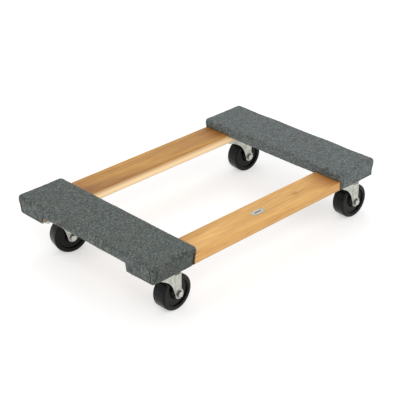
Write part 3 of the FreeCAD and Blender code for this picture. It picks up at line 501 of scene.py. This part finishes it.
def woodMaterial(name, look):
    # Planed hardwood under a thin clear varnish: long soft streaks along the grain and a low satin shine.
    # Painted shade darkens it by the end boards, most on top at the front, greys it under the covers and
    # along its lower edges, and painted light brightens the far rail's inner side.
    material, tree = newMaterial(name)
    where = addNode(tree, "TexCoord").outputs["Object"]
    stretch = [1, 1, 1]
    stretch[look["grain"]] = 1 / wood["streak"]
    along = addNode(tree, "Mapping", {"Location": look["shift"], "Scale": stretch}, {"Vector": where})
    figure = addNode(tree, "TexNoise", {"Scale": 1 / wood["figure"], "Detail": 3, "Distortion": 0.5},
                     {"Vector": along})
    figure = addNode(tree, "MapRange", {"From Min": 0.32, "From Max": 0.68}, {"Value": figure})
    lines = addNode(tree, "TexNoise", {"Scale": 1 / wood["lines"], "Detail": 2, "Roughness": 0.6},
                    {"Vector": along})
    pores = addNode(tree, "TexNoise", {"Scale": 1 / wood["pores"], "Detail": 1}, {"Vector": along})
    place = addNode(tree, "SeparateXYZ", {}, {"Vector": where})
    height = place.outputs["Z"]
    forward = addNode(tree, "Math", {"operation": "SUBTRACT", 1: deckMiddle}, {0: place.outputs["X"]})
    fromMiddle = addNode(tree, "Math", {"operation": "ABSOLUTE"}, {0: forward})

    tone = addNode(tree, "ValToRGB", {"stops": look["stops"]}, {"Fac": figure})
    tone = layer(tree, tone, lines, look["line"], **wood["lineTone"])
    tone = layer(tree, tone, pores, **wood["poreTone"])
    # painted shade by the end boards: on top near the front board, and over the whole rail towards both ends
    if look["shadeByCovers"]:
        start, end = wood["shadeByCoversForward"]
        near = addNode(tree, "MapRange", {"From Min": start, "From Max": end}, {"Value": forward})
        low, high = wood["shadeByCoversHeight"]
        onTop = addNode(tree, "MapRange", {"From Min": low, "From Max": high}, {"Value": height})
        shadedOnTop = addNode(tree, "Math", {"operation": "MULTIPLY"}, {0: near, 1: onTop})
        tone = layer(tree, tone, shadedOnTop, most=look["shadeByCovers"], **wood["shadeByCovers"])
        tone = layer(tree, tone, fromMiddle, most=look["shadeByCovers"] / 3, **wood["shadeTowardEnds"])
    if "mark" in look:  # a small brown bruise
        scale = [1 / radius for radius in wood["markRadii"]]
        shift = [-centre / radius for centre, radius in zip(look["mark"], wood["markRadii"])]
        oval = addNode(tree, "Mapping", {"Location": shift, "Scale": scale}, {"Vector": where})
        far = addNode(tree, "VectorMath", {"operation": "LENGTH"}, {0: oval}).outputs["Value"]
        tone = layer(tree, tone, far, **wood["mark"])
    if "paleFrom" in look:  # painted light, low on the inner side
        start = look["paleFrom"]
        inside = addNode(tree, "MapRange", {"From Min": start, "From Max": start - wood["paleWidth"]},
                         {"Value": place.outputs["Y"]})
        high, low = wood["paleHeight"]
        lower = addNode(tree, "MapRange", {"From Min": high, "From Max": low}, {"Value": height})
        pale = addNode(tree, "Math", {"operation": "MULTIPLY"}, {0: inside, 1: lower})
        tone = layer(tree, tone, pale, **wood["pale"])
    # painted shade along the lower edges
    tone = layer(tree, tone, height, **wood["lowEdgeShade"])
    # painted shade under the covers
    tone = layer(tree, tone, fromMiddle, **wood["dustAndShade"])
    low, high = wood["shine"]
    shine = addNode(tree, "MapRange", {"From Min": 0.3, "From Max": 0.7, "To Min": low, "To Max": high},
                    {"Value": lines})
    relief = addNode(tree, "Bump", {"Distance": wood["relief"], "Strength": 0.35}, {"Height": lines})
    settings = {"IOR": 1.5, "Coat Weight": 0.08, "Coat Roughness": 0.3}
    finishMaterial(tree, settings, {"Base Color": tone, "Roughness": shine, "Normal": relief})
    return material


dress(woodMaterial("varnishedHardwoodRight", woodLooks["right"]), "rail_right")
dress(woodMaterial("varnishedHardwoodLeft", woodLooks["left"]), "rail_left")
dress(woodMaterial("planedHardwoodBoards", woodLooks["board"]), "board_rear", "board_front")


# Metal
zinc = {
    "cloud": 0.008,  # patches where the plating is thicker
    "clouding": (0.08, -0.04),  # what is added to the roughness, from thin to thick
    "grain": 0.0012,  # far coarser than the plating's crystals, so that it shows
    "relief": 0.00006,  # height of its bumps
    "reach": 0.006,  # how near pieces meet for the painted shade to darken them
    # painted shade where pieces meet and in folds
    "creviceShade": {"hexText": "#3c3b36", "span": (0.96, 0.5), "most": 0.85},
}
zincLooks = {
    "fork": {"tone": "#cdcfc6", "dull": "#a9aaa0", "rough": 0.36},
    "plate": {"tone": "#c4c5bc", "dull": "#9d9e95", "rough": 0.40},
    "fastener": {"tone": "#d6d7d2", "dull": "#b2b3ae", "rough": 0.24},
    "wire": {"tone": "#b7b9ba", "dull": "#90918f", "rough": 0.34},
    "bearing": {"tone": "#a9abad", "dull": "#8a8b8c", "rough": 0.20},
}


def zincMaterial(name, look):
    # Pressed steel, bright zinc plated: pale cool metal with a satin shine, a little cloudy where the plating
    # is thicker, and painted shade, a dark grey, where pieces meet and in its folds
    material, tree = newMaterial(name)
    where = addNode(tree, "TexCoord").outputs["Object"]
    clouds = addNode(tree, "TexNoise", {"Scale": 1 / zinc["cloud"], "Detail": 4, "Roughness": 0.65},
                     {"Vector": where})
    tone = addNode(tree, "ValToRGB", {"stops": [(0.35, look["dull"]), (0.65, look["tone"])]}, {"Fac": clouds})
    # painted shade: ambient occlusion darkens the metal where pieces meet and in its folds
    corners = addNode(tree, "AmbientOcclusion", {"samples": 8, "Distance": zinc["reach"]}).outputs["AO"]
    tone = layer(tree, tone, corners, **zinc["creviceShade"])
    thin, thick = (look["rough"] + change for change in zinc["clouding"])
    rough = addNode(tree, "MapRange", {"From Min": 0.3, "From Max": 0.7, "To Min": thin, "To Max": thick},
                    {"Value": clouds})
    grain = addNode(tree, "TexNoise", {"Scale": 1 / zinc["grain"], "Detail": 2}, {"Vector": where})
    relief = addNode(tree, "Bump", {"Distance": zinc["relief"], "Strength": 0.3}, {"Height": grain})
    finishMaterial(tree, {"Metallic": 1.0}, {"Base Color": tone, "Roughness": rough, "Normal": relief})
    return material


metals = {name: zincMaterial(f"zincPlated{name.title()}", look) for name, look in zincLooks.items()}
dress(metals["wire"], "staples_rear", "staples_front")
dress(metals["fastener"], "caster_bolts", "caster_nuts")


# Wheels
rubber = {
    "dustAndShade": 0.012,  # patches of floor dust
    "stops": [(0.4, "#080807"), (0.75, "#151512")],  # bare to dusty
    "rough": (0.18, 0.32),
    "grain": 0.0014,  # coarser than the mould leaves, so that it shows
    "relief": 0.0001,  # height of its bumps
}


def rubberMaterial():
    # Moulded solid rubber: near black with a soft even shine, and a trace of floor dust
    material, tree = newMaterial("mouldedBlackRubber")
    where = addNode(tree, "TexCoord").outputs["Object"]
    dustAndShade = addNode(tree, "TexNoise", {"Scale": 1 / rubber["dustAndShade"], "Detail": 4, "Roughness": 0.65},
                   {"Vector": where})
    tone = addNode(tree, "ValToRGB", {"stops": rubber["stops"]}, {"Fac": dustAndShade})
    low, high = rubber["rough"]
    rough = addNode(tree, "MapRange", {"From Min": 0.3, "From Max": 0.7, "To Min": low, "To Max": high},
                    {"Value": dustAndShade})
    grain = addNode(tree, "TexNoise", {"Scale": 1 / rubber["grain"], "Detail": 2}, {"Vector": where})
    relief = addNode(tree, "Bump", {"Distance": rubber["relief"], "Strength": 0.25}, {"Height": grain})
    settings = {"IOR": 1.52, "Specular IOR Level": 0.18}
    finishMaterial(tree, settings, {"Base Color": tone, "Roughness": rough, "Normal": relief})
    return material


blackRubber = rubberMaterial()
for caster in casters:
    dress(metals["fork"], f"{caster}_fork")
    dress(metals["plate"], f"{caster}_plate", f"{caster}_lower_race")
    dress(metals["fastener"], f"{caster}_kingpin", f"{caster}_axle_bolt", f"{caster}_axle_nut")
    dress(metals["bearing"], f"{caster}_upper_balls", f"{caster}_lower_balls", f"{caster}_axle_sleeve",
          f"{caster}_wheel_bush")
    dress(blackRubber, f"{caster}_wheel")


label = {
    "film": [(0.0, "#c9c8be"), (0.74, "#c5c4b8"), (0.88, "#a9a394"), (1.0, "#b8aa8c")],  # middle to rim
    "ink": "#33342f",
    # the rest as shares of the label's half length and half width
    "step": 0.14,  # half the distance from block to block
    "block": 0.11,  # half a block's width
    "printed": {"X": 0.55, "Y": 0.30},
}


def labelMaterial():
    # Printed film: off-white, slightly glossy, with a grey rim and a row of plain blocks
    material, tree = newMaterial("printedFilm")
    low, high = (np.array(corner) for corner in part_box("rail_label"))
    middle, half = ((low + high) / 2)[:2], ((high - low) / 2)[:2]
    where = addNode(tree, "TexCoord").outputs["Object"]
    across = addNode(tree, "Mapping", {"Location": [*(-middle / half), 0], "Scale": [*(1 / half), 0]},
                     {"Vector": where})
    far = addNode(tree, "VectorMath", {"operation": "LENGTH"}, {0: across}).outputs["Value"]
    tone = addNode(tree, "ValToRGB", {"stops": label["film"]}, {"Fac": far})
    place = addNode(tree, "SeparateXYZ", {}, {"Vector": across})
    ink = addNode(tree, "Math", {"operation": "PINGPONG", 1: label["step"]}, {0: place.outputs["X"]})
    ink = addNode(tree, "Math", {"operation": "LESS_THAN", 1: label["block"]}, {0: ink})
    for axis, reach in label["printed"].items():
        away = addNode(tree, "Math", {"operation": "ABSOLUTE"}, {0: place.outputs[axis]})
        inside = addNode(tree, "Math", {"operation": "LESS_THAN", 1: reach}, {0: away})
        ink = addNode(tree, "Math", {"operation": "MULTIPLY"}, {0: ink, 1: inside})
    tone = layer(tree, tone, ink, label["ink"])
    finishMaterial(tree, {"Roughness": 0.4, "IOR": 1.46}, {"Base Color": tone})
    return material


dress(labelMaterial(), "rail_label")
print("materials given")


# Stage
stage = {
    "floor": "#cfcfcf",
    "glow": 0.48,  # keeps the shadows faint
    "floorHalf": 12.0,
    "sky": 0.80,
    "target": (0.04533, 0.05808, 0.060),
    "azimuth": -44.65,  # degrees; 0 looks along +Y
    "elevation": 28.07,
    "distance": 3.1116,
    "lens": 108.19,
    "sensor": 36,
    "lampTarget": (0, 0, 0.1),
    "lamps": [  # name, place, size, watts
        ("keyLamp", (-1.8, -2.0, 2.6), 1.1, 34),
        ("topLamp", (0.6, 0.8, 3.0), 1.6, 10),
    ],
}


def aimAt(holder, place, target):
    # puts a lamp or a camera at a place, looking at the target
    holder.location = place
    holder.rotation_euler = (Vector(target) - Vector(place)).to_track_quat("-Z", "Y").to_euler()
    bpy.context.scene.collection.objects.link(holder)


corners = np.array([[-1, -1, 0], [1, -1, 0], [1, 1, 0], [-1, 1, 0]]) * stage["floorHalf"]
floor = addMesh("floor", corners, np.array([[0, 1, 2, 3]]))
paper, paperTree = newMaterial("mattBackdropPaper")
finishMaterial(paperTree, {"Base Color": linear(stage["floor"]), "Roughness": 0.9,
                           "Emission Color": (1, 1, 1, 1), "Emission Strength": stage["glow"]}, {})
floor.data.materials.append(paper)

world = bpy.data.worlds.new("studio")
world.use_nodes = True
sky = world.node_tree.nodes["Background"].inputs
sky["Color"].default_value = (1, 1, 1, 1)
sky["Strength"].default_value = stage["sky"]
bpy.context.scene.world = world
bpy.context.scene.view_settings.view_transform = "Standard"

for name, place, size, watts in stage["lamps"]:
    lamp = bpy.data.lights.new(name, "AREA")
    lamp.shape, lamp.size, lamp.energy = "DISK", size, watts
    aimAt(bpy.data.objects.new(name, lamp), place, stage["lampTarget"])

azimuth, elevation = math.radians(stage["azimuth"]), math.radians(stage["elevation"])
level = math.cos(elevation)
back = Vector((math.sin(azimuth) * level, -math.cos(azimuth) * level, math.sin(elevation)))
target = Vector(stage["target"])
view = bpy.data.cameras.new("camera")
view.lens = stage["lens"]
view.sensor_width = stage["sensor"]
camera = bpy.data.objects.new("camera", view)
aimAt(camera, target + back * stage["distance"], target)
bpy.context.scene.camera = camera
print("stage set")
